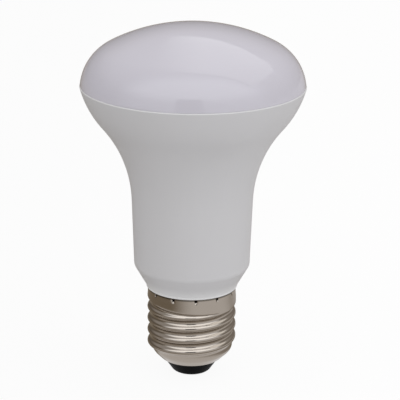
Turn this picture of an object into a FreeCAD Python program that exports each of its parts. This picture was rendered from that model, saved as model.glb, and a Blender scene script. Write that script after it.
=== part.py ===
import FreeCAD
import Part
import math
import os
import Sketcher

# Reflector lamp of the 63 mm class with an E27 screw cap, in millimetres.
# Z is the lamp's axis, with the dome up. The origin is on the axis, at the contact's lowest face.

doc = FreeCAD.newDocument("reflector_lamp")
sheet = doc.addObject("Spreadsheet::Sheet", "sizes")

# Driving sizes: alias, value, what it is.
DRIVING = [
    ("lamp_len", 105.3, "contact face to the top of the dome"),
    ("cap_len", 27.5, "contact face to the top edge of the screw shell"),
    ("dome_rise", 17.1, "top of the dome above its joint with the housing"),
    ("foot_tall", 6.8, "height of the foot's cone"),
    ("rim_dia", 64.8, "housing's rim, the widest part"),
    ("foot_flare", 3.575, "how far the wall's lower corner stands out from the lower edge"),
    ("foot_over", 0.3, "how far the housing's lower edge stands over the shell"),
    ("foot_lip", 0.5, "upright edge under the cone"),
    ("wall_draft", 1.9, "lean of the wall, degrees"),
    ("rim_lean", 14.0, "lean of the flare at the rim, degrees"),
    ("flare_low", 36.9, "radius of the hollow part of the flare"),
    ("flare_up", 28.2, "radius of the full part of the flare"),
    ("corner_round", 2.0, "rounding of the wall's lower corner"),
    ("rim_round", 0.4, "rounding of the rim's outer edge"),
    ("rim_step", 0.25, "how far the dome stands back from the rim"),
    ("dome_turn", 14.0, "radius of the dome's shoulder"),
    ("turn_drop", 1.4, "depth of the shoulder's centre below the joint"),
    ("rim_land", 2.2, "width of the rim outside the spigot ring"),
    ("spigot_wall", 1.6, "thickness of the spigot ring"),
    ("spigot_tall", 3.0, "depth of the spigot ring"),
    ("fit_gap", 0.1, "clearance round parts that slide together"),
    ("thread_major", 26.2, "crest diameter of the round thread"),
    ("thread_deep", 1.05, "depth of the round thread"),
    ("collar_slim", 0.12, "how far the plain collar lies inside the crests"),
    ("thread_pitch", 3.629, "seven turns to the inch"),
    ("thread_start", -40.0, "angle where the groove begins, degrees"),
    ("groove_drop", 3.648, "groove's middle at its start, below the shell's top edge"),
    ("groove_fade", 132.0, "angle over which the groove opens from its lower side, degrees"),
    ("thread_end", 8.75, "height of the groove where the last ridge has died out"),
    ("ridge_fade", 265.0, "angle over which the last ridge dies out, degrees"),
    ("shell_wall", 0.3, "sheet thickness of the shell"),
    ("dish_level", 9.8, "height where the shell starts to turn in"),
    ("dish_turn", 4.65, "radius of that turn"),
    ("lip_drop", 0.15, "lower lip below the lowest point of that turn"),
    ("lip_in", 2.85, "how far the lower lip lies inside the thread's root"),
    ("stake_count", 12.0, "staking dents round the collar"),
    ("stake_angle", 5.5, "turn of the dents from the front, degrees"),
    ("stake_drop", 0.75, "deepest point of a dent below the shell's top edge"),
    ("stake_wide", 0.75, "half width of a dent"),
    ("stake_head", 0.55, "length of a dent above its deepest point"),
    ("stake_tail", 1.2, "length of a dent below its deepest point"),
    ("stake_deep", 0.5, "depth of a dent"),
    ("neck_gap", 0.6, "neck's lower end above the insulator"),
    ("tip_land", 1.75, "insulator's lower edge, before rounding, round the contact's head"),
    ("tip_level", 0.3, "height of the insulator's lower face"),
    ("tip_round", 2.0, "rounding of the insulator's lower edge"),
    ("cone_in", 0.9, "insulator's cone inside the lip"),
    ("cone_drop", 0.33, "top of that cone below the lip"),
    ("plug_tall", 4.2, "height of the insulator above the lip"),
    ("plug_seat", 1.0, "width of the insulator's seat behind the lip"),
    ("head_dia", 7.2, "contact's head"),
    ("head_tall", 0.9, "full thickness of the contact's head"),
    ("head_round", 0.5, "rounding of the head's edge"),
    ("shank_dia", 2.9, "contact's shank"),
    ("shank_short", 0.7, "top of the shank below the insulator's top"),
    ("shank_point", 0.6, "chamfer at the shank's end"),
]

# How finely the shell's sheet is drawn: columns round the axis, steps in height, rounds of fitting, and the
# share of its full width that the first groove starts with.
SKIN_COLUMNS = 180
STEP_THREAD = 0.44
STEP_DENT = 0.2
STEP_DISH = 0.5
SKIN_SWEEPS = 6
GROOVE_SLIT = 0.02

# Sizes worked out from the driving ones: alias, formula, what it is.
DERIVED = [
    ("seam_level", "lamp_len - dome_rise", "height of the joint between housing and dome"),
    ("corner_level", "cap_len + foot_tall", "height where the foot's cone meets the wall"),
    ("thread_minor", "thread_major - 2 * thread_deep", "root diameter of the round thread"),
    ("foot_r", "thread_major / 2 + foot_over", "housing's lower edge"),
    ("body_r", "foot_r + foot_flare", "wall at its lower corner"),
    ("groove_level", "cap_len - groove_drop", "height of the groove's middle at its start"),
    ("thread_turns", "(groove_level - thread_end) / thread_pitch", "turns from there to the end"),
    ("lip_r", "thread_minor / 2 - lip_in", "radius of the lower lip"),
    ("lip_level", "dish_level - dish_turn - lip_drop", "height of the lower lip"),
    ("plug_top", "lip_level + plug_tall", "top of the insulator"),
    ("neck_foot", "plug_top + neck_gap", "lower end of the neck"),
    ("tip_r", "head_dia / 2 + tip_land", "insulator's lower edge before rounding"),
    ("shank_top", "plug_top - shank_short", "top of the shank"),
    ("up_r", "rim_dia / 2 - flare_up * cos(rim_lean)", "centre of the flare's full part"),
    ("up_z", "seam_level + flare_up * sin(rim_lean)", "its height"),
    ("span_r", "up_r - body_r - flare_low * cos(wall_draft)", "centre to centre, across"),
    ("span_z", "up_z - corner_level + flare_low * sin(wall_draft)", "centre to centre, up"),
    ("reach", "flare_low + flare_up", "distance between two arcs' centres that touch"),
    ("aside", "span_r * cos(wall_draft) - span_z * sin(wall_draft)", "the part of it across the wall"),
    ("along", "span_r * sin(wall_draft) + span_z * cos(wall_draft) - sqrt(reach ^ 2 - aside ^ 2)",
     "length of the straight wall"),
    ("wall_r", "body_r + along * sin(wall_draft)", "top of the straight wall"),
    ("wall_z", "corner_level + along * cos(wall_draft)", "its height"),
    ("low_r", "wall_r + flare_low * cos(wall_draft)", "centre of the flare's hollow part"),
    ("low_z", "wall_z - flare_low * sin(wall_draft)", "its height"),
    ("bend_r", "low_r + (up_r - low_r) * flare_low / reach", "where hollow turns to full"),
    ("bend_z", "low_z + (up_z - low_z) * flare_low / reach", "its height"),
    ("dome_r", "rim_dia / 2 - rim_step", "dome's radius at the joint"),
    ("turn_r", "dome_r - sqrt(dome_turn ^ 2 - turn_drop ^ 2)", "centre of the dome's shoulder"),
    ("turn_z", "seam_level - turn_drop", "its height"),
    ("rise", "lamp_len - turn_z", "top of the dome above that centre"),
    ("cap_rad", "(turn_r ^ 2 + rise ^ 2 - dome_turn ^ 2) / (2 * (rise - dome_turn))",
     "radius of the dome's cap"),
    ("cap_z", "lamp_len - cap_rad", "height of the cap's centre"),
    ("blend_r", "turn_r * cap_rad / (cap_rad - dome_turn)", "where shoulder and cap meet"),
    ("blend_z", "cap_z + (turn_z - cap_z) * cap_rad / (cap_rad - dome_turn)", "its height"),
    ("spigot_r", "rim_dia / 2 - rim_land", "outside of the spigot ring"),
    ("spigot_in", "spigot_r - spigot_wall", "inside of the spigot ring"),
    ("collar_in", "thread_major / 2 - collar_slim - shell_wall - fit_gap", "neck's radius inside the collar"),
    ("root_in", "thread_minor / 2 - shell_wall - fit_gap", "neck's radius inside the thread"),
    ("neck_step", "groove_level + thread_pitch / 2", "height of the neck's step"),
    ("notch_wide", "2 * (stake_wide + shell_wall + 2 * fit_gap)", "width of a notch for a dent"),
    ("notch_foot", "cap_len - stake_drop - stake_tail - shell_wall - 2 * fit_gap", "foot of a notch"),
    ("notch_floor", "collar_in - stake_deep - fit_gap", "radius of a notch's floor"),
    ("bore_r", "shank_dia / 2 + fit_gap / 2", "insulator's bore for the shank"),
    ("recess_r", "head_dia / 2 + fit_gap", "recess for the contact's head"),
]


def fill_sheet():
    """Writes each size as a plain number or a formula, with its alias and what it is."""
    row = 1
    for alias, value, note in DRIVING:
        sheet.set("A%d" % row, alias)
        sheet.set("B%d" % row, str(value))
        sheet.setAlias("B%d" % row, alias)
        sheet.set("C%d" % row, note)
        row += 1
    for alias, formula, note in DERIVED:
        sheet.set("A%d" % row, alias)
        sheet.set("B%d" % row, "=" + formula)
        sheet.setAlias("B%d" % row, alias)
        sheet.set("C%d" % row, note)
        row += 1
    doc.recompute()


def size(alias):
    """The number that a cell holds."""
    return float(sheet.get(alias))


def value_of(formula):
    """The number that a formula over the sheet's cells gives."""
    return float(sheet.evalExpression(bound(formula)))


def bound(formula):
    """A formula with each cell's name written as the sheet's own."""
    names = {alias for alias, _, _ in DRIVING + DERIVED}
    words = []
    word = ""
    for letter in formula + " ":
        if letter.isalnum() or letter == "_":
            word += letter
            continue
        words.append("sizes." + word if word in names else word)
        words.append(letter)
        word = ""
    return "".join(words).strip()


def origin_plane(body, role):
    """One of a body's own origin planes."""
    for feature in body.Origin.OriginFeatures:
        if feature.Role == role:
            return feature
    raise ValueError("no origin plane " + role)


def origin_axis(body, role):
    """One of a body's own origin axes, as a link for a feature."""
    return (origin_plane(body, role), [""])


def new_body(name):
    """An empty body whose label names its file."""
    body = doc.addObject("PartDesign::Body", name)
    body.Label = name
    return body


def new_sketch(body, name, role):
    """A sketch on one of the body's own origin planes."""
    sketch = body.newObject("Sketcher::SketchObject", name)
    sketch.AttachmentSupport = [(origin_plane(body, role), "")]
    sketch.MapMode = "FlatFace"
    return sketch


def arc_between(start, end, radius, turn):
    """The short arc from start to end whose centre lies left of that way for turn 1, right for turn -1."""
    chord = end - start
    middle = start + chord * 0.5
    reach = math.sqrt(max(radius ** 2 - (chord.Length / 2) ** 2, 0))
    side = FreeCAD.Vector(-chord.y, chord.x, 0).normalize() * turn
    centre = middle + side * reach
    crown = centre - side * radius
    return Part.Arc(start, crown, end)


def draw_outline(sketch, corners, arcs):
    """Draws a closed outline. Each corner is a pair of formulas, bound to the sheet, for radius and height.

    arcs gives the radius and the turn of each side that isn't straight, by the side's first corner.
    """
    spots = [FreeCAD.Vector(value_of(across), value_of(up), 0) for across, up in corners]
    count = len(corners)
    for side in range(count):
        start, end = spots[side], spots[(side + 1) % count]
        if side in arcs:
            radius, turn = arcs[side]
            bow = arc_between(start, end, value_of(radius), turn)
            sketch.addGeometry(bow, False)
        else:
            sketch.addGeometry(Part.LineSegment(start, end), False)
    # An arc keeps its points in the order of its own sense, so the first and last are looked up.
    first, last = [], []
    for side in range(count):
        begin_is_one = sketch.getPoint(side, 1).distanceToPoint(spots[side]) < 1e-6
        first.append(1 if begin_is_one else 2)
        last.append(2 if begin_is_one else 1)
    for side in range(count):
        after = (side + 1) % count
        sketch.addConstraint(Sketcher.Constraint("Coincident", side, last[side], after, first[after]))
    for side, (across, up) in enumerate(corners):
        if across == "0":
            sketch.addConstraint(Sketcher.Constraint("PointOnObject", side, first[side], -2))
        else:
            bind(sketch, Sketcher.Constraint("DistanceX", -1, 1, side, first[side], spots[side].x), across)
        bind(sketch, Sketcher.Constraint("DistanceY", -1, 1, side, first[side], spots[side].y), up)
    for side, (radius, turn) in arcs.items():
        bind(sketch, Sketcher.Constraint("Radius", side, value_of(radius)), radius)


def bind(sketch, constraint, formula):
    """Adds a dimension and binds it to a formula over the sheet."""
    index = sketch.addConstraint(constraint)
    sketch.setExpression("Constraints[%d]" % index, bound(formula))


def turned(body, name, corners, arcs=None):
    """A full turn of an outline in the XZ plane about the lamp's axis."""
    sketch = new_sketch(body, name + "_outline", "XZ_Plane")
    draw_outline(sketch, corners, arcs or {})
    turn = body.newObject("PartDesign::Revolution", name)
    turn.Profile = sketch
    turn.ReferenceAxis = origin_axis(body, "Z_Axis")
    turn.Angle = 360
    doc.recompute()
    return turn


def ring_edge(shape, radius, level):
    """The name of the round edge with this radius at this height."""
    for number, edge in enumerate(shape.Edges, 1):
        round_edge = isinstance(edge.Curve, Part.Circle)
        if round_edge and abs(edge.Curve.Radius - radius) < 1e-4 and abs(edge.Curve.Center.z - level) < 1e-4:
            return "Edge%d" % number
    raise ValueError("no edge of radius %.3f at height %.3f" % (radius, level))


def rounded(body, name, base, radius, level, rounding):
    """A fillet on the round edge at this radius and height, all given as formulas."""
    fillet = body.newObject("PartDesign::Fillet", name)
    fillet.Base = (base, [ring_edge(base.Shape, value_of(radius), value_of(level))])
    fillet.setExpression("Radius", bound(rounding))
    doc.recompute()
    return fillet


def make_housing():
    """The moulded housing: neck, foot cone, drafted wall, S-shaped flare and rim with its groove."""
    body = new_body("housing")
    corners = [
        ("0", "neck_foot"),
        ("root_in", "neck_foot"),
        ("root_in", "neck_step"),
        ("collar_in", "neck_step"),
        ("collar_in", "cap_len"),
        ("foot_r", "cap_len"),
        ("foot_r", "cap_len + foot_lip"),
        ("body_r", "corner_level"),
        ("wall_r", "wall_z"),
        ("bend_r", "bend_z"),
        ("rim_dia / 2", "seam_level"),
        ("spigot_r + fit_gap", "seam_level"),
        ("spigot_r + fit_gap", "seam_level - spigot_tall - fit_gap"),
        ("spigot_in - fit_gap", "seam_level - spigot_tall - fit_gap"),
        ("spigot_in - fit_gap", "seam_level"),
        ("0", "seam_level"),
    ]
    wall_top, bend = 8, 9
    form = turned(body, "housing_form", corners, {wall_top: ("flare_low", -1), bend: ("flare_up", 1)})
    soft = rounded(body, "corner_fillet", form, "body_r", "corner_level", "corner_round")
    soft = rounded(body, "rim_fillet", soft, "rim_dia / 2", "seam_level", "rim_round")

    # A notch in the neck takes each dent of the shell.
    sketch = new_sketch(body, "notch_outline", "XY_Plane")
    sketch.setExpression("AttachmentOffset.Base.z", bound("notch_foot"))
    sketch.setExpression("AttachmentOffset.Rotation.Angle", bound("stake_angle") + " * 1 deg")
    draw_outline(sketch, [
        ("-notch_wide / 2", "-collar_in - fit_gap"),
        ("notch_wide / 2", "-collar_in - fit_gap"),
        ("notch_wide / 2", "-notch_floor"),
        ("-notch_wide / 2", "-notch_floor"),
    ], {})
    notch = body.newObject("PartDesign::Pocket", "notch")
    notch.Profile = sketch
    notch.Reversed = True
    notch.setExpression("Length", bound("cap_len - notch_foot"))
    doc.recompute()
    ring = body.newObject("PartDesign::PolarPattern", "notch_ring")
    ring.Originals = [notch]
    ring.Axis = origin_axis(body, "Z_Axis")
    ring.Angle = 360
    ring.setExpression("Occurrences", bound("stake_count"))
    body.Tip = ring
    doc.recompute()
    return body


def make_diffuser():
    """The opal dome: shoulder arc and flatter cap, with the spigot ring that snaps into the housing."""
    body = new_body("diffuser_dome")
    corners = [
        ("0", "seam_level"),
        ("spigot_in", "seam_level"),
        ("spigot_in", "seam_level - spigot_tall"),
        ("spigot_r", "seam_level - spigot_tall"),
        ("spigot_r", "seam_level"),
        ("dome_r", "seam_level"),
        ("blend_r", "blend_z"),
        ("0", "lamp_len"),
    ]
    foot, blend = 5, 6
    turned(body, "dome_form", corners, {foot: ("dome_turn", 1), blend: ("cap_rad", 1)})
    return body


def make_insulator():
    """The black insulator: cone below the lip, waist in it and flange above, bored for the contact."""
    body = new_body("insulator")
    corners = [
        ("recess_r", "tip_level"),
        ("tip_r", "tip_level"),
        ("lip_r - cone_in", "lip_level - cone_drop"),
        ("lip_r - shell_wall - fit_gap", "lip_level - fit_gap"),
        ("lip_r - shell_wall - fit_gap", "lip_level + shell_wall"),
        ("lip_r + plug_seat", "plug_top"),
        ("bore_r", "plug_top"),
        ("bore_r", "head_tall"),
        ("recess_r", "head_tall"),
    ]
    form = turned(body, "insulator_form", corners)
    rounded(body, "tip_fillet", form, "tip_r", "tip_level", "tip_round")
    return body


def make_contact():
    """The centre contact: a flat head with a rounded edge, on a pointed shank pressed into the insulator."""
    body = new_body("centre_contact")
    corners = [
        ("0", "0"),
        ("head_dia / 2 - head_round", "0"),
        ("head_dia / 2", "head_round"),
        ("head_dia / 2", "head_tall"),
        ("shank_dia / 2", "head_tall"),
        ("shank_dia / 2", "shank_top - shank_point"),
        ("shank_dia / 2 - shank_point", "shank_top"),
        ("0", "shank_top"),
    ]
    head_edge = 1
    turned(body, "contact_form", corners, {head_edge: ("head_round", 1)})
    return body


def smooth_step(part):
    """0 below 0, 1 above 1, and an even slope between."""
    part = min(max(part, 0), 1)
    return part * part * (3 - 2 * part)


def dish_radius(level):
    """The shell's outside without its thread: root cylinder, turned-in arc and straight run to the lip."""
    root = size("thread_minor") / 2
    turn, start = size("dish_turn"), size("dish_level")
    if level >= start:
        return root
    lip_r, lip_z = size("lip_r"), size("lip_level")
    mid_r = root - turn
    away = math.hypot(lip_r - mid_r, lip_z - start)
    lean = math.atan2(start - lip_z, lip_r - mid_r) - math.acos(turn / away)
    touch = start - turn * math.sin(lean)
    if level >= touch:
        return mid_r + math.sqrt(turn ** 2 - (start - level) ** 2)
    return mid_r + turn * math.cos(lean) - (touch - level) * math.tan(lean)


def round_wave(offset):
    """The round thread's height, 0 in the groove and 1 on the ridge, at a height from the groove's middle."""
    quarter = size("thread_pitch") / 4
    depth = size("thread_deep")
    radius = (4 * quarter ** 2 + depth ** 2) / (4 * depth)
    if offset <= quarter:
        return (radius - math.sqrt(radius ** 2 - offset ** 2)) / depth
    return 1 - (radius - math.sqrt(radius ** 2 - (2 * quarter - offset) ** 2)) / depth


def thread_height(angle, level):
    """The share of the thread's depth at a spot. A right-hand groove falls as the angle falls."""
    turn = 2 * math.pi
    pitch = size("thread_pitch")
    behind = (math.radians(size("thread_start")) - angle) % turn
    below = (size("groove_level") - pitch * behind / turn - level) / pitch
    # The first groove opens from its lower side, in width and depth alike.
    groove = max(round(below), 0)
    opening = min(max((behind + turn * groove) / math.radians(size("groove_fade")), GROOVE_SLIT), 1)
    offset = 0.5 - (0.5 - below + groove) / opening
    wave = round_wave(min(abs(offset), 0.5) * pitch)
    ridge = behind + turn * math.floor(max(below, 0))
    left = size("thread_turns") * turn - ridge
    height = 1.0 if below < 0 else smooth_step(left / math.radians(size("ridge_fade")))
    return height * (1 - opening * (1 - wave))


def dent_depth(angle, level):
    """Depth of the staking dents, which press the collar into the housing's neck."""
    step = 2 * math.pi / size("stake_count")
    turned_by = angle + math.pi / 2 - math.radians(size("stake_angle"))
    beside = ((turned_by + step / 2) % step - step / 2) * size("thread_major") / 2
    across = abs(beside) / size("stake_wide")
    up = level - (size("cap_len") - size("stake_drop"))
    along = up / size("stake_head") if up > 0 else -up / size("stake_tail")
    if across >= 1 or along >= 1:
        return 0.0
    return size("stake_deep") * (math.cos(math.pi * across) + 1) / 2 * (1 - along) ** 2 * (1 + 2 * along)


def shell_radius(angle, level):
    """The shell's outside radius at an angle and a height."""
    waist = smooth_step((level - size("groove_level")) / (size("thread_pitch") / 2))
    radius = dish_radius(level) + size("thread_deep") * thread_height(angle, level)
    return radius - size("collar_slim") * waist - dent_depth(angle, level)


def skin(columns, knots, spot):
    """A smooth surface, closed round the axis, through spot(column, height) at its own nodes."""
    rows = len(knots) + 2
    padded = [knots[0]] * 3 + knots + [knots[-1]] * 3
    nodes = [sum(padded[row + 1:row + 4]) / 3 for row in range(rows)]
    goals = [[spot(column, node) for node in nodes] for column in range(columns)]
    poles = [list(line) for line in goals]
    for sweep in range(SKIN_SWEEPS):
        surface = Part.BSplineSurface()
        surface.buildFromPolesMultsKnots(poles, [1] * (columns + 1), [4] + [1] * (len(knots) - 2) + [4],
                                         [float(step) for step in range(columns + 1)], knots,
                                         True, False, 3, 3)
        if sweep == SKIN_SWEEPS - 1:
            return surface
        # In the closed direction a pole acts most at the knot before its own number.
        for column in range(columns):
            around = (column - 1) % columns
            for row, node in enumerate(nodes):
                poles[column][row] = poles[column][row] + goals[column][row] - surface.value(around, node)


def even_steps(low, high, step):
    """Heights from low up to high, evenly spaced by about step, without high itself."""
    count = max(round((high - low) / step), 1)
    return [low + (high - low) * number / count for number in range(count)]


def shell_knots():
    """The heights at which the sheet's rows are laid, closer together at the dents."""
    dent_foot = size("cap_len") - size("stake_drop") - size("stake_tail")
    knots = even_steps(size("lip_level"), size("dish_level"), STEP_DISH)
    knots += even_steps(size("dish_level"), dent_foot, STEP_THREAD)
    knots += even_steps(dent_foot, size("cap_len"), STEP_DENT)
    return knots + [size("cap_len")]


def ring_at(face, level):
    """The closed edge of a face that lies at a height."""
    for edge in face.Edges:
        box = edge.BoundBox
        if edge.isClosed() and abs(box.ZMin - level) < 0.01 and abs(box.ZMax - level) < 0.01:
            return edge
    raise ValueError("no ring at height %.3f" % level)


def make_shell():
    """The screw shell: one thin rolled sheet with the round thread, the collar's dents and the dished end."""
    columns, knots = SKIN_COLUMNS, shell_knots()
    turn = 2 * math.pi / columns

    def outside(column, level):
        angle = turn * column
        radius = shell_radius(angle, level)
        return FreeCAD.Vector(radius * math.cos(angle), radius * math.sin(angle), level)

    outer = skin(columns, knots, outside)

    def inside(column, level):
        around = (column - 1) % columns
        across = outer.normal(around, level)
        here = outer.value(around, level)
        if across.x * here.x + across.y * here.y > 0:
            across = across * -1
        if level == knots[-1]:
            across.z = 0
            across.normalize()
        return here + across * size("shell_wall")

    inner = skin(columns, knots, inside)
    outer_face, inner_face = outer.toShape(), inner.toShape()
    top = size("cap_len")
    top_rings = [Part.Wire([ring_at(outer_face, top)]), Part.Wire([ring_at(inner_face, top)])]
    top_face = Part.makeFace(top_rings, "Part::FaceMakerBullseye")
    lip_out = ring_at(outer_face, outer_face.BoundBox.ZMin)
    lip_in = ring_at(inner_face, inner_face.BoundBox.ZMin)
    lip_face = Part.makeRuledSurface(lip_out, lip_in)
    sheet_metal = Part.makeShell([outer_face, inner_face, top_face, lip_face])
    sheet_metal.sewShape()
    solid = Part.makeSolid(sheet_metal)
    if solid.Volume < 0:
        solid.reverse()
    shell = doc.addObject("Part::Feature", "screw_shell")
    shell.Label = "screw_shell"
    shell.Shape = solid
    return shell


fill_sheet()
parts = [make_housing(), make_diffuser(), make_shell(), make_insulator(), make_contact()]
for part in parts:
    part.Placement = FreeCAD.Placement(FreeCAD.Vector(0, 0, 0), FreeCAD.Rotation(0, 0, 0))
doc.recompute()

for thing in doc.Objects:
    if "Invalid" in thing.State or "Error" in thing.State:
        raise ValueError("%s is in state %s" % (thing.Label, thing.State))
os.makedirs("parts", exist_ok=True)
for part in parts:
    if part.Shape.isNull() or not part.Shape.isValid() or part.Shape.Volume <= 0:
        raise ValueError("%s has no sound shape" % part.Label)
    part.Shape.exportStep("parts/%s.step" % part.Label)
    print("%-16s %10.1f mm3" % (part.Label, part.Shape.Volume))
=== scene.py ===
# %% [markdown]
# # A reflector lamp, dressed for its picture
#
# The lamp has five pieces: a white housing, an opal dome on top of it, a screw shell of thin sheet below,
# and in the shell's end a black insulator with a metal contact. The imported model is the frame, and gives
# each piece its size and its place. Here the dome and the shell get new, smoother skins, every piece gets
# its finish, and a studio is built round the lamp. Every length is in metres, X runs to the right, Y to the
# back and Z up.

# %% Load the model
import bpy
import math
from mathutils import Matrix, Vector


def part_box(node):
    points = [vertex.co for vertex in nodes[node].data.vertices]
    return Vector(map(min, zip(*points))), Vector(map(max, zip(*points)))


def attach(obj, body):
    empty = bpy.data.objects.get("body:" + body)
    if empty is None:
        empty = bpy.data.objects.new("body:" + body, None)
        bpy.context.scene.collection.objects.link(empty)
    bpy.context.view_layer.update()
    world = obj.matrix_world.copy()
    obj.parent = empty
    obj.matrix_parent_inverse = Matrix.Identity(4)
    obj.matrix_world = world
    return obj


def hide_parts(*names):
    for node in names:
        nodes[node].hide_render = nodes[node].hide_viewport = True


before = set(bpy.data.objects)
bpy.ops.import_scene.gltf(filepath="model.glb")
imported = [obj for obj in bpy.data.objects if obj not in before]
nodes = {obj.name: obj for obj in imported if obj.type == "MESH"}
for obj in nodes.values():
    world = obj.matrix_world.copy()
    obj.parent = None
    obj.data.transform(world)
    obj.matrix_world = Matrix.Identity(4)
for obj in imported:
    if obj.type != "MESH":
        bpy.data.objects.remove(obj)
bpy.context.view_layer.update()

MM = 0.001
print("nodes:", ", ".join(sorted(nodes)))

# %% [markdown]
# ## Sizes
#
# A new skin has to lie where its solid lies, so both follow the same drawing. Its lengths are written in
# millimetres and turned into metres once. The lengths that more than one piece or finish needs come first.
# The others come with their piece.

# %% Sizes
def in_metres(drawing):
    """A drawing's lengths, which are in millimetres, in metres."""
    return {name: value * MM for name, value in drawing.items()}


size = in_metres({"lamp_len": 105.3, "cap_len": 27.5, "seam_level": 88.2, "rim_dia": 64.8,
                  "thread_major": 26.2, "stake_drop": 0.75})
STAKES = 12
STAKE_ANGLE = math.radians(5.5)
ROUND_COLUMNS = 288
for name in ("diffuser_dome", "screw_shell"):
    low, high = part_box(name)
    print(name, "from", round(low.z / MM, 2), "to", round(high.z / MM, 2), "radius", round(high.x / MM, 2))

# %% [markdown]
# ## Formulas as nodes
#
# Both skins follow a rule, and so do the light and some of the colours. A rule could be worked out in
# Python for each point, but nodes can be opened and changed by hand later. A long formula is hard to read
# as a list of nodes, so `Number` wraps a value in a node tree: `a * b + 1` then adds a multiply node and an
# add node.

# %% Formulas as nodes
class Number:
    """A value in a node tree that takes part in formulas."""

    def __init__(self, tree, socket):
        self.tree = tree
        self.socket = socket

    def math(self, operation, *others):
        node = self.tree.nodes.new("ShaderNodeMath")
        node.operation = operation
        for place, value in enumerate((self,) + others):
            if isinstance(value, Number):
                self.tree.links.new(value.socket, node.inputs[place])
            else:
                node.inputs[place].default_value = value
        return Number(self.tree, node.outputs[0])

    def __add__(self, other):
        return self.math("ADD", other)

    def __sub__(self, other):
        return self.math("SUBTRACT", other)

    def __mul__(self, other):
        return self.math("MULTIPLY", other)

    def __truediv__(self, other):
        return self.math("DIVIDE", other)

    __radd__ = __add__
    __rmul__ = __mul__

    def __rsub__(self, other):
        return (self * -1) + other

    def __rtruediv__(self, other):
        return self.math("POWER", -1.0) * other

    def squared(self):
        return self.math("POWER", 2.0)

    def least(self, other):
        return self.math("MINIMUM", other)

    def most(self, other):
        return self.math("MAXIMUM", other)

    def within(self, low, high):
        return self.most(low).least(high)

    def root(self):
        return self.most(0.0).math("SQRT")

    def over(self, other):
        """1 where this is more than other, otherwise 0."""
        return self.math("GREATER_THAN", other)

    def smooth(self):
        """0 below 0, 1 above 1, and a soft step between."""
        part = self.within(0.0, 1.0)
        return part * part * (3.0 - 2.0 * part)

    def fade(self, low, high):
        """0 up to low, 1 from high on, and a soft step between."""
        return ((self - low) / (high - low)).smooth()

    def choose(self, where_one, where_zero):
        """where_one where this is 1, where_zero where it is 0."""
        return where_zero + self * (where_one - where_zero)


# %% [markdown]
# ## One node in one line
#
# A node is made, set up and linked in several steps. `add` does them in one call, for geometry and for
# materials alike. Each input takes a plain value, a number from a formula or another node's output.

# %% One node in one line
def add(tree, kind, links=None, **settings):
    """A node with its settings, and its inputs linked or set by name or place."""
    node = tree.nodes.new(kind)
    for name, value in settings.items():
        setattr(node, name, value)
    for name, value in (links or {}).items():
        if isinstance(value, Number):
            value = value.socket
        if isinstance(value, bpy.types.NodeSocket):
            tree.links.new(value, node.inputs[name])
        else:
            node.inputs[name].default_value = value
    return node


def parts_of(tree, socket):
    """The three parts of a vector as numbers."""
    split = add(tree, "ShaderNodeSeparateXYZ", {0: socket})
    return [Number(tree, part) for part in split.outputs]


# %% [markdown]
# ## Trees for the skins
#
# The dome is turned and the shell is rolled, so both are round. A skin therefore starts as an open tube, and
# each of its points is moved to an angle, a radius and a level. Its rings and columns can lie close together
# where the form is fine. Each skin has a tree of its own, with named inputs for its sizes.

# %% Trees for the skins
def new_tree(name, inputs):
    """An empty geometry tree with named inputs. Returns the tree and what its inputs give, by name."""
    tree = bpy.data.node_groups.new(name, "GeometryNodeTree")
    tree.interface.new_socket("Geometry", in_out="INPUT", socket_type="NodeSocketGeometry")
    for label, kind, value in inputs:
        socket = tree.interface.new_socket(label, in_out="INPUT", socket_type=kind)
        if value is not None:
            socket.default_value = value
    tree.interface.new_socket("Geometry", in_out="OUTPUT", socket_type="NodeSocketGeometry")
    start = tree.nodes.new("NodeGroupInput")
    return tree, {socket.name: Number(tree, socket) for socket in start.outputs if socket.name}


def unit_tube(tree, given):
    """An open tube of radius 1 from -0.5 to 0.5, and its points' places as numbers."""
    tube = add(tree, "GeometryNodeMeshCylinder",
               {"Vertices": given["Columns"], "Side Segments": given["Rows"], "Radius": 1.0, "Depth": 1.0},
               fill_type="NONE")
    place = add(tree, "GeometryNodeInputPosition")
    return tube.outputs["Mesh"], parts_of(tree, place.outputs[0])


def move_points(tree, mesh, angle, radius, level):
    """Moves a mesh's points to an angle about Z, a radius and a level."""
    across, back = radius * angle.math("COSINE"), radius * angle.math("SINE")
    spot = add(tree, "ShaderNodeCombineXYZ", {0: across, 1: back, 2: level})
    return add(tree, "GeometryNodeSetPosition", {"Geometry": mesh, "Position": spot.outputs[0]}).outputs[0]


# %% [markdown]
# ## How a tree ends
#
# All trees end alike. Points that meet are welded, so that the skin is closed. The faces are smooth, but an
# edge stays sharp where the skin turns by more than a given angle, as at a joint. Then instances are made
# real and the finish is put on.

# %% How a tree ends
WELD = 0.002 * MM


def close_tree(tree, geometry, material, sharp):
    """The end of a skin's tree: welded, smooth but for edges past the angle sharp, and given its finish."""
    merged = add(tree, "GeometryNodeMergeByDistance", {"Geometry": geometry, "Distance": WELD})
    soft = add(tree, "GeometryNodeSetShadeSmooth", {"Geometry": merged.outputs[0]}, domain="FACE")
    angle = add(tree, "GeometryNodeInputMeshEdgeAngle")
    crease = Number(tree, angle.outputs["Unsigned Angle"]).over(sharp)
    edged = add(tree, "GeometryNodeSetShadeSmooth",
                {"Geometry": soft.outputs[0], "Selection": crease, "Shade Smooth": False}, domain="EDGE")
    real = add(tree, "GeometryNodeRealizeInstances", {"Geometry": edged.outputs[0]})
    painted = add(tree, "GeometryNodeSetMaterial", {"Geometry": real.outputs[0], "Material": material})
    end = tree.nodes.new("NodeGroupOutput")
    tree.links.new(painted.outputs[0], end.inputs[0])


print("points closer than", round(WELD / MM, 4), "mm become one")

# %% [markdown]
# ## From a tree to a plain mesh
#
# Other programs can't run a node tree. So a helper object runs it once, with its inputs set, and the result
# is kept as a plain mesh without the tree.

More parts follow.
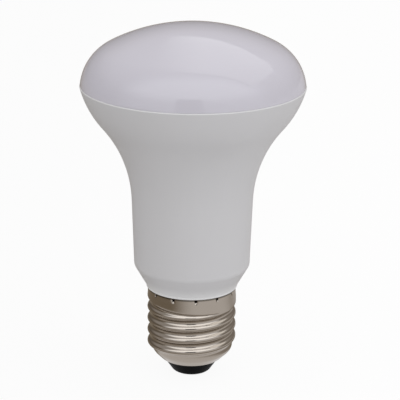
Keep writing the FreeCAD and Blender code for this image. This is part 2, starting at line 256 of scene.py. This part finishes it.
# %% From a tree to a plain mesh
def bake(name, source, tree, values):
    """Runs a tree on a source mesh and returns the result as a plain object."""
    helper = bpy.data.objects.new(name + "_source", source)
    bpy.context.scene.collection.objects.link(helper)
    modifier = helper.modifiers.new("skin", "NODES")
    modifier.node_group = tree
    for item in tree.interface.items_tree:
        if item.in_out == "INPUT" and item.name in values:
            modifier[item.identifier] = values[item.name]
    bpy.context.view_layer.update()
    depsgraph = bpy.context.evaluated_depsgraph_get()
    mesh = bpy.data.meshes.new_from_object(helper.evaluated_get(depsgraph), depsgraph=depsgraph)
    bpy.data.objects.remove(helper)
    piece = bpy.data.objects.new(name, mesh)
    bpy.context.scene.collection.objects.link(piece)
    mesh.name = name
    print(name, "triangles:", sum(len(face.vertices) - 2 for face in mesh.polygons))
    return piece


# %% [markdown]
# ## Colours and finishes
#
# Each finish on the lamp is one Principled shader with its own numbers. A colour is given as it would be
# picked from a screen, from 0 to 255, and turned into the shader's own scale. Where a colour changes over a
# piece, two colours are blended by a share that runs from 0 to 1.

# %% Colours and finishes
def linear(red, green, blue):
    """A colour given from 0 to 255 as it shows, in the shader's own scale."""
    parts = []
    for part in (red, green, blue):
        part = part / 255
        parts.append(part / 12.92 if part <= 0.04045 else ((part + 0.055) / 1.055) ** 2.4)
    return (*parts, 1.0)


def plain_material(name, colour, **sockets):
    """A Principled material whose colour and numbers are set on the shader's own sockets."""
    material = bpy.data.materials.new(name)
    material.use_nodes = True
    shader = material.node_tree.nodes["Principled BSDF"]
    shader.inputs["Base Color"].default_value = colour
    for label, value in sockets.items():
        shader.inputs[label.replace("_", " ")].default_value = value
    print(name, "is made, with", sockets)
    return material


def colour_blend(tree, share, low, high):
    """The colour low where share is 0, and high where it is 1."""
    blend = add(tree, "ShaderNodeMix", {"A": low, "B": high, "Factor": share}, data_type="RGBA")
    return blend.outputs["Result"]


def new_group(name, inputs, label, kind):
    """An empty shader group with named inputs and one output. Returns it, its inputs and its output."""
    group = bpy.data.node_groups.new(name, "ShaderNodeTree")
    for title, value in inputs.items():
        socket = group.interface.new_socket(title, in_out="INPUT", socket_type="NodeSocketFloat")
        socket.default_value = value
    group.interface.new_socket(label, in_out="OUTPUT", socket_type=kind)
    start = group.nodes.new("NodeGroupInput")
    end = group.nodes.new("NodeGroupOutput")
    return group, {title: Number(group, start.outputs[title]) for title in inputs}, end.inputs[label]


# %% [markdown]
# ## A fine grain
#
# The housing's plastic has the fine matt of its mould, and the rolled sheet has faint waves from its dies.
# Both are far too small to model. One group makes them both: a noise as a bump, which bends the light and
# leaves the shape alone. Each material gives it a scale and a height of its own.

# %% A fine grain
GRAIN = {"Scale": 900.0, "Height": 0.02 * MM, "Detail": 2.0}


def grain_group():
    """A fine grain as a normal."""
    group, given, end = new_group("grain", GRAIN, "Normal", "NodeSocketVector")
    place = add(group, "ShaderNodeTexCoord")
    noise = add(group, "ShaderNodeTexNoise", {"Vector": place.outputs["Object"], "Scale": given["Scale"],
                                              "Detail": given["Detail"]})
    bump = add(group, "ShaderNodeBump", {"Strength": 1.0, "Height": noise.outputs["Fac"],
                                         "Distance": given["Height"]})
    group.links.new(bump.outputs["Normal"], end)
    return group


def add_grain(material, scale, height):
    """Gives a material the grain, at its own scale and height."""
    tree = material.node_tree
    node = add(tree, "ShaderNodeGroup", {"Scale": scale, "Height": height}, node_tree=grain)
    tree.links.new(node.outputs["Normal"], tree.nodes["Principled BSDF"].inputs["Normal"])


grain = grain_group()
print("the grain has the inputs", ", ".join(GRAIN))

# %% [markdown]
# ## Masks
#
# Two finishes change at a certain place on their piece. A painted picture could hold that, but it would
# need to be unwrapped and stored. A mask is worked out from the place on the piece instead, so it stays
# sharp from nearby.

# %% Masks
def mask_group(name, inputs, mask_of):
    """A group whose Mask runs from 0 to 1 over the piece, as mask_of works it out from the place on it."""
    group, given, end = new_group(name, inputs, "Mask", "NodeSocketFloat")
    place = add(group, "ShaderNodeTexCoord")
    spot = parts_of(group, place.outputs["Object"])
    group.links.new(mask_of(spot, given).socket, end)
    return group


def tint_by_mask(material, group, masked):
    """Blends a material's own colour to the colour masked, by a group's mask."""
    tree = material.node_tree
    colour = tree.nodes["Principled BSDF"].inputs["Base Color"]
    node = add(tree, "ShaderNodeGroup", node_tree=group)
    tree.links.new(colour_blend(tree, node.outputs["Mask"], tuple(colour.default_value), masked), colour)
    print(material.name, "is tinted by", group.name)


# %% [markdown]
# ## The dome's outline
#
# The dome is one moulding of opal plastic: a shallow cap, a tight turn down to the rim, and below it a ring
# that sits in the housing's groove. A squashed sphere would have no such turn. The outline is therefore two
# arcs that meet without a corner. The cap's radius follows from the lamp's height and from the turn.

# %% The dome's outline
TURN_STEPS, CAP_STEPS = 40, 48
SEAM_STEP = 0.01 * MM
size.update(in_metres({"rim_step": 0.25, "dome_turn": 14.0, "turn_drop": 1.4,
                       "spigot_dia": 60.4, "spigot_wall": 1.6, "spigot_tall": 3.0}))


def arc_points(centre, radius, first, last, count):
    """Points on an arc. Angles are in radians from the radius axis towards up."""
    steps = [first + (last - first) * number / count for number in range(count + 1)]
    return [(centre[0] + radius * math.cos(step), centre[1] + radius * math.sin(step)) for step in steps]


seam = size["seam_level"]
dome_r = size["rim_dia"] / 2 - size["rim_step"]
turn, drop = size["dome_turn"], size["turn_drop"]
turn_r, turn_z = dome_r - math.sqrt(turn ** 2 - drop ** 2), seam - drop
rise = size["lamp_len"] - turn_z
cap_radius = (turn_r ** 2 + rise ** 2 - turn ** 2) / (2 * (rise - turn))
cap_z = size["lamp_len"] - cap_radius
meet = math.atan2(turn_z - cap_z, turn_r)
spigot = size["spigot_dia"] / 2
spigot_in, spigot_foot = spigot - size["spigot_wall"], seam - size["spigot_tall"]

# The sixth point lies just inside the dome's edge, and the short step from it keeps that edge crisp.
dome_line = [(0, seam), (spigot_in, seam), (spigot_in, spigot_foot), (spigot, spigot_foot), (spigot, seam),
             (dome_r - SEAM_STEP, seam)]
dome_line += arc_points((turn_r, turn_z), turn, math.asin(drop / turn), meet, TURN_STEPS)
dome_line += arc_points((0, cap_z), cap_radius, meet, math.pi / 2, CAP_STEPS)[1:]
print("cap radius in mm:", round(cap_radius / MM, 2), "points:", len(dome_line))

# %% [markdown]
# ## The dome, turned on a lathe
#
# Opal plastic is milky all through and its skin is glossy. Light passing through it could be traced, but
# the lamp is off and the dome is thick with pigment, so a plain light colour under a clear gloss looks the
# same and is quick. A Screw modifier could turn the outline. The lathe here is a tree, so it gives smooth
# faces, a sharp joint and the finish in one go: it takes a tube and moves each of its rings to the
# outline's next point.

# %% The dome
DOME_CREASE = math.radians(32)


def lathe_tree():
    """Turns the input's points about Z."""
    inputs = [("Columns", "NodeSocketInt", ROUND_COLUMNS), ("Rows", "NodeSocketInt", 1),
              ("Material", "NodeSocketMaterial", None)]
    tree, given = new_tree("lathe", inputs)
    tube, (across, back, up) = unit_tube(tree, given)
    row = ((up + 0.5) * given["Rows"]).math("ROUND")
    place = add(tree, "GeometryNodeInputPosition")
    point = add(tree, "GeometryNodeSampleIndex",
                {"Geometry": given["Geometry"], "Value": place.outputs[0], "Index": row},
                data_type="FLOAT_VECTOR", domain="POINT")
    radius, _, level = parts_of(tree, point.outputs[0])
    turned = move_points(tree, tube, back.math("ARCTAN2", across), radius, level)
    close_tree(tree, turned, given["Material"], DOME_CREASE)
    return tree


def outline_mesh(name, points):
    """A line of points, each a radius and a level, as a mesh."""
    mesh = bpy.data.meshes.new(name)
    mesh.from_pydata([(radius, 0, level) for radius, level in points],
                     [(number, number + 1) for number in range(len(points) - 1)], [])
    return mesh


opal = plain_material("opal", linear(199, 196, 205), Roughness=0.06, IOR=1.49)
dome = bake("dome_skin", outline_mesh("dome_line", dome_line), lathe_tree(),
            {"Rows": len(dome_line) - 1, "Material": opal})
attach(dome, "root")
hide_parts("diffuser_dome")

# %% [markdown]
# ## The screw shell's sheet
#
# The shell is rolled from thin sheet: dies press the thread into it, its end is turned in to a dish, and a
# punch presses its collar into the neck of the housing at twelve places. A ridge swept along a helix would
# only sit on a tube, and its ends would stop dead. So the sheet starts as a tube, and the radius of each
# point is a formula in which thread, dish and dents blend into each other as they do in the real sheet.
#
# Evenly spaced points would be wasted on the plain parts. The columns draw together at the dents, and a
# quarter of the rings lies in the top tenth, which is the band with the dents.

# %% The screw shell's sheet
SHELL_DRAWING = {
    "thread_minor": 24.1, "thread_pitch": 3.629, "groove_level": 23.852, "thread_end": 8.75,
    "collar_slim": 0.12, "shell_wall": 0.3, "dish_level": 9.8, "dish_turn": 4.65, "lip_level": 5.0,
    "fine_band": 2.4, "stake_wide": 0.75, "stake_head": 0.55, "stake_tail": 1.2, "stake_deep": 0.5,
    "nick_wide": 0.3, "nick_tall": 0.32, "nick_deep": 0.5,
}
LIP_DIA = 18.4 * MM
size.update(in_metres(SHELL_DRAWING))


def sheet_grid(given, across, back, up):
    """The angle and the level that each point of the tube goes to."""
    even = back.math("ARCTAN2", across)
    beside = even + math.pi / 2 - given["Stake angle"]
    angle = even - (beside * given["Stakes"]).math("SINE") * given["Gather"] / given["Stakes"]
    part = up + 0.5
    cap_len, lip_level, low_rows = given["cap_len"], given["lip_level"], given["Low rows"]
    bend = cap_len - given["fine_band"]
    low_part = (part / low_rows).least(1.0)
    high_part = ((part - low_rows) / (1.0 - low_rows)).most(0.0)
    return angle, lip_level + (bend - lip_level) * low_part + (cap_len - bend) * high_part


def sheet_base(given, level):
    """The radius without thread and dents: root cylinder, turned-in arc, straight run to the lip."""
    turned, dish, touch = given["dish_turn"], given["dish_level"], given["Touch level"]
    inward = (dish - level).within(0.0, dish - touch)
    base = given["thread_minor"] / 2 - turned + (turned * turned - inward * inward).root()
    return base - (touch - level).most(0.0) * given["Lip slope"]


print("collar to lip in mm:", round((size["cap_len"] - size["lip_level"]) / MM, 2))

# %% [markdown]
# ## The thread's wave
#
# A lamp's thread is round: a hollow arc in each groove and a full arc on each ridge, so that it can be
# rolled. Seen along the sheet it is a wave, and the wave falls as the angle falls, which makes the thread
# right-handed. The first groove opens slowly from its lower side under the collar. The last ridge dies out
# on the dish.

# %% The thread's wave
FULL_TURN = 2 * math.pi


def thread_height(given, angle, level):
    """How far the sheet stands out from the thread's root: all the way on a ridge and on the collar."""
    pitch = given["thread_pitch"]
    depth = (given["thread_major"] - given["thread_minor"]) / 2
    quarter = pitch / 4
    bow = (4 * quarter * quarter + depth * depth) / (4 * depth)
    behind = (given["Thread start"] - angle).math("FLOORED_MODULO", FULL_TURN)
    below = (given["groove_level"] - pitch * behind / FULL_TURN - level) / pitch

    # How near the point is to its groove's middle, with the first groove squeezed until it has opened.
    groove = below.math("ROUND").most(0.0)
    opening = ((behind + FULL_TURN * groove) / given["Groove fade"]).within(given["Least opening"], 1.0)
    offset = 0.5 - (0.5 - below + groove) / opening
    away = (offset.math("ABSOLUTE") * pitch).least(quarter * 2)

    # Two arcs that meet half way up make the wave.
    near = away.least(quarter * 2 - away)
    side = (bow - (bow * bow - near * near).root()) / depth
    wave = away.over(quarter).choose(1.0 - side, side)

    ridge = behind + FULL_TURN * below.most(0.0).math("FLOOR")
    turns = (given["groove_level"] - given["thread_end"]) / pitch
    dying = ((turns * FULL_TURN - ridge) / given["Ridge fade"]).smooth()
    height = below.over(0.0).choose(dying, 1.0)
    return depth * (height * (1.0 - opening * (1.0 - wave)))


print("turns of thread:", round((size["groove_level"] - size["thread_end"]) / size["thread_pitch"], 2))

# %% [markdown]
# ## The staking dents
#
# The punch leaves a soft hollow, steep towards the collar's edge and long below it, and in its middle a
# small nick where the point went in. Carving twelve dents one by one would be slow and uneven. The formula
# measures how far a point lies from the nearest dent's middle, so one dent serves for all.

# %% The staking dents
def arc_from_stake(angle, stakes, stake_angle, radius):
    """How far a point lies from the nearest dent's middle, along the collar's round."""
    step = FULL_TURN / stakes
    beside = angle + math.pi / 2 - stake_angle
    return ((beside + step / 2).math("FLOORED_MODULO", step) - step / 2) * radius


def dent_depth(given, angle, level):
    """How deep the punch has pressed the collar."""
    arc = arc_from_stake(angle, given["Stakes"], given["Stake angle"], given["thread_major"] / 2)
    rise_up = level - (given["cap_len"] - given["stake_drop"])
    out = (arc / given["stake_wide"]).math("ABSOLUTE").least(1.0)
    along = (rise_up / given["stake_head"]).most(rise_up * -1 / given["stake_tail"]).least(1.0)
    dent = given["stake_deep"] * ((out * math.pi).math("COSINE") + 1.0) / 2
    dent = dent * (1.0 - along) * (1.0 - along) * (1.0 + 2.0 * along)
    nick = 1.0 - (arc / given["nick_wide"]).squared() - (rise_up / given["nick_tall"]).squared()
    return dent + given["nick_deep"] * (nick / given["Nick soft"]).within(0.0, 1.0)


print("dents are", round(math.pi * size["thread_major"] / STAKES / MM, 2), "mm apart")

# %% [markdown]
# ## The shell in one tree
#
# The parts above are added up. The collar is rolled a little slimmer than the ridges. The sheet's outside
# is then copied inwards by its thickness, along its own normals. A Solidify modifier would do that too. In
# the tree, the one weld at the end also closes the sheet along both its edges.

# %% The shell in one tree
SHELL_CREASE = math.radians(50)
SHELL_ROWS = 150


def shell_tree():
    """The rolled sheet, with its thread, dish, dents and thickness."""
    inputs = [("Columns", "NodeSocketInt", ROUND_COLUMNS), ("Rows", "NodeSocketInt", SHELL_ROWS),
              ("Stakes", "NodeSocketInt", STAKES), ("Material", "NodeSocketMaterial", None)]
    numbers = {"Stake angle": STAKE_ANGLE, "Gather": 0.6, "Low rows": 0.75, "Touch level": 0.0,
               "Lip slope": 0.0, "Thread start": math.radians(-40), "Groove fade": math.radians(132),
               "Least opening": 0.02, "Ridge fade": math.radians(265), "Nick soft": 0.5}
    for name in (*SHELL_DRAWING, "thread_major", "cap_len", "stake_drop"):
        numbers[name] = size[name]
    inputs += [(name, "NodeSocketFloat", value) for name, value in numbers.items()]
    tree, given = new_tree("screw_shell", inputs)
    tube, place = unit_tube(tree, given)
    angle, level = sheet_grid(given, *place)
    waist = ((level - given["groove_level"]) / (given["thread_pitch"] / 2)).smooth()
    radius = sheet_base(given, level) + thread_height(given, angle, level)
    radius = radius - waist * given["collar_slim"] - dent_depth(given, angle, level)
    skin = move_points(tree, tube, angle, radius, level)
    normal = add(tree, "GeometryNodeInputNormal")
    inner = add(tree, "GeometryNodeExtrudeMesh",
                {"Mesh": skin, "Offset": normal.outputs[0], "Offset Scale": given["shell_wall"] * -1,
                 "Individual": False}, mode="FACES")
    inner = add(tree, "GeometryNodeFlipFaces", {"Mesh": inner.outputs["Mesh"]})
    both = add(tree, "GeometryNodeJoinGeometry")
    tree.links.new(inner.outputs["Mesh"], both.inputs[0])
    tree.links.new(skin, both.inputs[0])
    close_tree(tree, both.outputs[0], given["Material"], SHELL_CREASE)
    print("the shell's tree has", len(tree.nodes), "nodes")
    return tree


# %% [markdown]
# ## Bright nickel
#
# The shell is plated with nickel, a mirror that is a little warm and grey. The punch leaves a small nick in
# each dent, and the collar's top edge lies in the shadow of the housing's foot. Both are about as fine as
# the picture's pixels, so light alone would lose them. A mask paints them dark, over the real dents: painted
# shade in the nicks and a painted shadow along the collar's top edge.

# %% Bright nickel
NICK_SHADE = {"Wide": 0.4 * MM, "Tall": 0.4 * MM, "Soft": 0.4, "Drop": 0.2 * MM,
        "Edge": 0.9 * MM, "Edge soft": 0.4, "Shade": 0.6}


def painted_nick_shade_mask(spot, given):
    """1 where shade is painted: in the punched nick of each staking dent, and a painted shadow at the
    collar's top edge under the housing's foot.
    """
    across, back, up = spot
    arc = arc_from_stake(back.math("ARCTAN2", across), STAKES, STAKE_ANGLE, size["thread_major"] / 2)
    rise_up = up - (size["cap_len"] - size["stake_drop"] - given["Drop"])
    inside = 1.0 - (arc / given["Wide"]).squared() - (rise_up / given["Tall"]).squared()
    edge = ((up - size["cap_len"] + given["Edge"]) / (given["Edge"] * given["Edge soft"])).smooth()
    return (inside / given["Soft"]).smooth().most(edge * given["Shade"])


nickel = plain_material("nickel", linear(176, 167, 156), Metallic=1.0, Roughness=0.14)
add_grain(nickel, 500.0, 0.008 * MM)
# Painted shade: the nicks and the collar's top edge are tinted near black where shade falls.
tint_by_mask(nickel, mask_group("painted_nick_and_edge_shade", NICK_SHADE, painted_nick_shade_mask), linear(20, 18, 16))

# %% [markdown]
# ## The shell, baked
#
# The dish ends in a straight run to the lip. Where the arc hands over to it, and how steeply it runs,
# follows from the lip's place: the run has to touch the arc and to end at the lip.

# %% The shell, baked
lip_r, lip_z = LIP_DIA / 2, size["lip_level"]
mid_r = size["thread_minor"] / 2 - size["dish_turn"]
to_lip = math.hypot(lip_r - mid_r, lip_z - size["dish_level"])
lean = math.atan2(size["dish_level"] - lip_z, lip_r - mid_r) - math.acos(size["dish_turn"] / to_lip)
touch_level = size["dish_level"] - size["dish_turn"] * math.sin(lean)
shell = bake("screw_skin", bpy.data.meshes.new("empty"), shell_tree(),
             {"Material": nickel, "Touch level": touch_level, "Lip slope": math.tan(lean)})
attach(shell, "root")
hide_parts("screw_shell")
print("the arc ends at", round(touch_level / MM, 2), "mm")

# %% [markdown]
# ## The solids that stay
#
# The housing, the insulator and the contact are plainer forms, and the frame's own meshes are smooth
# enough. The housing is a fine matt white plastic. Its foot's lip and its rim get a painted highlight, a
# lighter tint where they catch the light. The insulator is black and reflects next to nothing, so deep in
# the shell's end. The contact is a plain bright metal.

# %% The solids that stay
LIT_EDGE = {"Lip": 4.0 * MM, "Rim": 0.4 * MM, "Soft": 0.2 * MM}


def painted_edge_highlight_mask(spot, given):
    """1 where a highlight is painted: on the housing's foot's lip and on its rim."""
    up = spot[2]
    foot = 1.0 - ((up - size["cap_len"]) / given["Lip"]).smooth()
    rim = ((up - size["seam_level"] + given["Rim"]) / given["Soft"]).smooth()
    return foot.most(rim)


white_plastic = plain_material("white_plastic", linear(200, 199, 201), Roughness=0.42, IOR=1.47)
add_grain(white_plastic, 2600.0, 0.006 * MM)
# Painted highlight: the lip of the housing's foot and its rim are tinted lighter.
tint_by_mask(white_plastic, mask_group("painted_edge_highlight", LIT_EDGE, painted_edge_highlight_mask), linear(221, 221, 222))
black_glaze = plain_material("black_glaze", linear(6, 6, 7), Roughness=0.4, Specular_IOR_Level=0.02)
contact_metal = plain_material("contact_metal", linear(206, 203, 196), Metallic=1.0, Roughness=0.3)
finishes = {"housing": white_plastic, "insulator": black_glaze, "centre_contact": contact_metal}
for name, material in finishes.items():
    mesh = nodes[name].data
    mesh.materials.clear()
    mesh.materials.append(material)
    print(name, "triangles:", len(mesh.polygons))

# %% [markdown]
# ## How the studio works
#
# The picture has a pure white ground, while the lamp shows soft grey sides and a dark left. A real studio
# would need many lamps and boards for that. Here a ray can be told apart by what it does: a camera ray, a
# ray that lights something and a ray that is a reflection may each meet a different brightness. So white
# ground, soft light and dark reflections are set on their own.

# %% How the studio works
WHITE = (1.0, 1.0, 1.0, 1.0)
CARD_GLOW, SKY_GLOW = "ShaderNodeEmission", "ShaderNodeBackground"


def eye_and_gloss(tree):
    """1 for camera rays, and 1 for rays that are reflected or pass through."""
    rays = tree.nodes.new("ShaderNodeLightPath")
    eye, gloss, through = (Number(tree, rays.outputs["Is %s Ray" % kind])
                           for kind in ("Camera", "Glossy", "Transmission"))
    return eye, gloss.most(through)


def glow(tree, colour, strength=1.0, kind=CARD_GLOW):
    """A shader that shines, for a card or for the sky."""
    return add(tree, kind, {"Color": colour, "Strength": strength}).outputs[0]


def shader_choice(tree, share, first, second):
    """First where share is 0, second where it is 1."""
    return add(tree, "ShaderNodeMixShader", {0: share, 1: first, 2: second}).outputs[0]


# %% [markdown]
# ## Flat cards
#
# What stands round the lamp shows only as a patch of light or colour, so flat cards are enough.

# %% Flat cards
def flat_card(name, corners, material):
    """A flat piece of the studio."""
    mesh = bpy.data.meshes.new(name)
    mesh.from_pydata(corners, [], [tuple(range(len(corners)))])
    mesh.materials.append(material)
    piece = bpy.data.objects.new(name, mesh)
    bpy.context.scene.collection.objects.link(piece)
    print(name, "is in the studio")
    return piece


def square(half, level):
    """The corners of a level square about the middle."""
    return [(-half, -half, level), (half, -half, level), (half, half, level), (-half, half, level)]


# %% [markdown]
# ## The floor
#
# The lamp stands on a white sheet. The camera and the reflections see it nearly as a plain glow, so it is
# white to the edge and keeps only a breath of shadow. Light that bounces off it meets matt paper, a little
# darker to the left, which dims the lamp's left side from below.

# %% The floor
FLOOR_WHITE = 0.93
FLOOR_LEFT, FLOOR_RIGHT = linear(206, 206, 206), linear(226, 226, 226)
FLOOR_FADE = (-0.08, 0.06)
FLOOR_HALF = 3.0

floor_white = plain_material("floor_white", FLOOR_LEFT, Roughness=0.9)
tree = floor_white.node_tree
paper = tree.nodes["Principled BSDF"]
across, back, up = parts_of(tree, add(tree, "ShaderNodeTexCoord").outputs["Object"])
paper_colour = colour_blend(tree, across.fade(*FLOOR_FADE), FLOOR_LEFT, FLOOR_RIGHT)
tree.links.new(paper_colour, paper.inputs["Base Color"])
eye, gloss = eye_and_gloss(tree)
floor_shader = shader_choice(tree, eye.most(gloss) * FLOOR_WHITE, paper.outputs[0], glow(tree, WHITE))
tree.links.new(floor_shader, tree.nodes["Material Output"].inputs["Surface"])
flat_card("floor", square(FLOOR_HALF, 0.0), floor_white)

# %% [markdown]
# ## The sky as a lamp
#
# The sky gives soft light from all round, brighter from the front right and from above, but not from above
# behind. Area lamps would do the same and add noise and hard edges. `open_share` is the common helper: it
# tells how far a way turns towards a certain side.

# %% The sky as a lamp
OPEN_WAY = math.radians(20)
OPEN_FADE = (-0.05, 0.5)
HIGH_FADE = (0.22, 0.6)
BEHIND_FADE = (0.1, 0.6)
LIGHT_LEFT, LIGHT_RIGHT, LIGHT_HIGH = 0.68, 0.9, 0.31

world = bpy.data.worlds.new("studio")
bpy.context.scene.world = world
world.use_nodes = True
sky = world.node_tree
sky.nodes.clear()


def open_share(across, back, toward, low, high):
    """1 near the side toward, counted from the front to the right, and 0 away from it."""
    return (across * math.sin(toward) - back * math.cos(toward)).fade(low, high)


across, back, up = parts_of(sky, add(sky, "ShaderNodeTexCoord").outputs["Generated"])
side = open_share(across, back, OPEN_WAY, *OPEN_FADE)
high = up.fade(*HIGH_FADE)
behind = back.fade(*BEHIND_FADE)
light_tone = side.choose(LIGHT_RIGHT, LIGHT_LEFT) + high * (1.0 - behind) * LIGHT_HIGH
print("the sky lights from", LIGHT_LEFT, "to", round(LIGHT_RIGHT + LIGHT_HIGH, 2))

# %% [markdown]
# ## The sky in reflections
#
# The mirror of the shell shows what stands round it. In the picture that is an open front, dark sides that
# are darkest at the left, and something bright overhead. The dim parts are a little warm, as brown card
# would be. The camera itself sees the sky as plain white.

# %% The sky in reflections
FRONT_FADE = (-0.02, 0.45)
FRONT_SHARE = 0.8
RIGHT_FADE = (0.0, 0.5)
GLOSS_LEFT, GLOSS_RIGHT, GLOSS_OPEN = 0.18, 0.3, 0.8
GLOSS_HIGH, GLOSS_BACK = 1.9, 0.48
GLOSS_WARM, GLOSS_COOL = (1.0, 0.86, 0.7, 1.0), (0.98, 1.0, 1.05, 1.0)

front = (back * -1).fade(*FRONT_FADE)
dark_tone = across.fade(*RIGHT_FADE).choose(GLOSS_RIGHT, GLOSS_LEFT)
low_tone = (front * (FRONT_SHARE + side * (1.0 - FRONT_SHARE))).choose(GLOSS_OPEN, dark_tone)
gloss_tone = high.choose(front.choose(GLOSS_HIGH, GLOSS_BACK), low_tone)
gloss_colour = colour_blend(sky, gloss_tone.fade(0.0, GLOSS_OPEN), GLOSS_WARM, GLOSS_COOL)
eye, gloss = eye_and_gloss(sky)
room = shader_choice(sky, gloss, glow(sky, light_tone, kind=SKY_GLOW),
                     glow(sky, gloss_colour, gloss_tone, SKY_GLOW))
seen = shader_choice(sky, eye, room, glow(sky, WHITE, kind=SKY_GLOW))
add(sky, "ShaderNodeOutputWorld", {"Surface": seen})
print("the sky's tree has", len(sky.nodes), "nodes")

# %% [markdown]
# ## Cards for the reflections
#
# What the shell mirrors is best drawn on cards that shine by themselves, as their tones then don't depend on
# any other light. They are hidden from all but the reflections, so they neither light the lamp nor show.

# %% Cards for the reflections
def glow_material(name, shader_of):
    """A material that only shines, as shader_of works it out from its tree and the place on the card."""
    material = bpy.data.materials.new(name)
    material.use_nodes = True
    tree = material.node_tree
    tree.nodes.clear()
    place = add(tree, "ShaderNodeTexCoord")
    shader = shader_of(tree, *parts_of(tree, place.outputs["Object"]))
    add(tree, "ShaderNodeOutputMaterial", {"Surface": shader})
    return material


def only_reflected(card):
    """A card that shows in shiny surfaces and nowhere else."""
    card.visible_camera = False
    card.visible_diffuse = False
    card.visible_shadow = False
    card.visible_transmission = False


# %% [markdown]
# ## The board under the lamp
#
# The undersides of the thread mirror what lies below. There the picture is light at the front and right,
# dim at the left and far behind, with a dark ring close to the shell that draws the fine lines under each
# ridge. A board just above the floor has these tones and shows in reflections only.

# %% The board under the lamp
BOARD_LEVEL = 0.5 * MM
BOARD_DIM, BOARD_OPEN = (0.27, 0.23, 0.18, 1.0), (0.80, 0.79, 0.80, 1.0)
NEAR_WAY, NEAR_FADE = math.radians(10), (-0.5, 0.0)
WIDE_WAY, WIDE_FADE = math.radians(45), (-0.15, 0.9)
BESIDE_FADE, BESIDE_SHARE = (0.2, 0.7), 0.55
FAR_FADE = (0.045, 0.07)
RING_STARTS, RING_ENDS, RING_DARK = (0.017, 0.023), (0.032, 0.048), 0.82
MIDDLE = 1.0 * MM


def board_shader(tree, across, back, up):
    """Open at the front and right, dim to the left, far behind and in a ring."""
    away = (across * across + back * back).root().most(MIDDLE)
    near = open_share(across / away, back / away, NEAR_WAY, *NEAR_FADE)
    wide = open_share(across / away, back / away, WIDE_WAY, *WIDE_FADE)
    wide = wide.most((across / away).fade(*BESIDE_FADE) * BESIDE_SHARE)
    ring = away.fade(*RING_STARTS) * (1.0 - away.fade(*RING_ENDS))
    share = away.fade(*FAR_FADE).choose(wide, near) * (1.0 - ring * RING_DARK)
    return glow(tree, colour_blend(tree, share, BOARD_DIM, BOARD_OPEN))


board = flat_card("tone_board", square(FLOOR_HALF, BOARD_LEVEL), glow_material("board_glow", board_shader))
only_reflected(board)

# %% [markdown]
# ## The cloth at the camera
#
# A camera stands in a dark room with a dark cloth round it, and a mirror that faces it shows it. That gives
# the ridges the short dark dashes in their middle. A card with a dark glow stands in the camera's place.

# %% The cloth at the camera
CLOTH = (0.06, 0.06, 0.06, 1.0)
CLOTH_CORNERS = [(-0.16, -0.50, 0.07), (0.09, -0.50, 0.07), (0.09, -0.53, 0.35), (-0.16, -0.53, 0.35)]


def cloth_shader(tree, across, back, up):
    """An even dark glow."""
    return glow(tree, CLOTH)


black_cloth = glow_material("black_cloth", cloth_shader)
eye_card = flat_card("eye_card", CLOTH_CORNERS, black_cloth)
only_reflected(eye_card)

# %% [markdown]
# ## The panel overhead
#
# The dome mirrors one wide light panel, with a clear dark line along its front edge, and it fades out to
# the left. The sky alone would give the dome no such shape. The panel is therefore a real card that also
# lights the lamp, clear at its left end, with a strip of the dark cloth along its front.

# %% The panel overhead
PANEL_TONE = (1.3, 1.3, 1.3, 1.0)
PANEL_FADE = (-0.2, 0.06)
PANEL_CORNERS = [(-0.20, 0.045, 0.6), (-0.10, 0.74, 0.6), (0.64, 0.37, 0.6), (0.64, -0.215, 0.6)]
STRIP_CORNERS = [(-0.08, 0.006, 0.599), (0.60, -0.203, 0.599),
                 (0.60, -0.233, 0.599), (-0.08, -0.006, 0.599)]


def panel_shader(tree, across, back, up):
    """An even glow that fades out over its left end."""
    clear = add(tree, "ShaderNodeBsdfTransparent").outputs[0]
    return shader_choice(tree, across.fade(*PANEL_FADE), clear, glow(tree, PANEL_TONE))


top_panel = flat_card("top_panel", PANEL_CORNERS, glow_material("panel_glow", panel_shader))
top_panel.visible_camera = False
panel_edge = flat_card("panel_edge", STRIP_CORNERS, black_cloth)
only_reflected(panel_edge)

# %% [markdown]
# ## The camera
#
# The lamp's rings are ellipses in the picture, and their shapes tell from how high and how far they were
# seen. A fit of a camera to the outline, the rings and the thread gave the place, the aim, a slight roll
# and the focal length in the picture's own pixels. The lens is worked out from that, so the picture can be
# laid over the photograph.

# %% The camera
EYE = Vector((0.0, -462.6, 205.6)) * MM
AIM = Vector((2.23, 0.0, 53.48)) * MM
ROLL = math.radians(0.473)
FOCAL_PIXELS = 1675.3
FRAME_PIXELS = 400
SENSOR_MM = 36.0

ahead = (AIM - EYE).normalized()
level_right = ahead.cross(Vector((0, 0, 1))).normalized()
level_up = level_right.cross(ahead)
right = level_right * math.cos(ROLL) + level_up * math.sin(ROLL)
upward = level_up * math.cos(ROLL) - level_right * math.sin(ROLL)
lens = bpy.data.cameras.new("camera")
lens.sensor_width = SENSOR_MM
lens.lens = FOCAL_PIXELS * SENSOR_MM / FRAME_PIXELS
lens.clip_start = 0.01
lens.clip_end = 20.0
camera = bpy.data.objects.new("camera", lens)
bpy.context.scene.collection.objects.link(camera)
turn_to = Matrix((right, upward, -ahead)).transposed()
camera.matrix_world = Matrix.Translation(EYE) @ turn_to.to_4x4()
bpy.context.scene.camera = camera
bpy.context.scene.view_settings.view_transform = "Standard"
print("lens in mm:", round(lens.lens, 2))
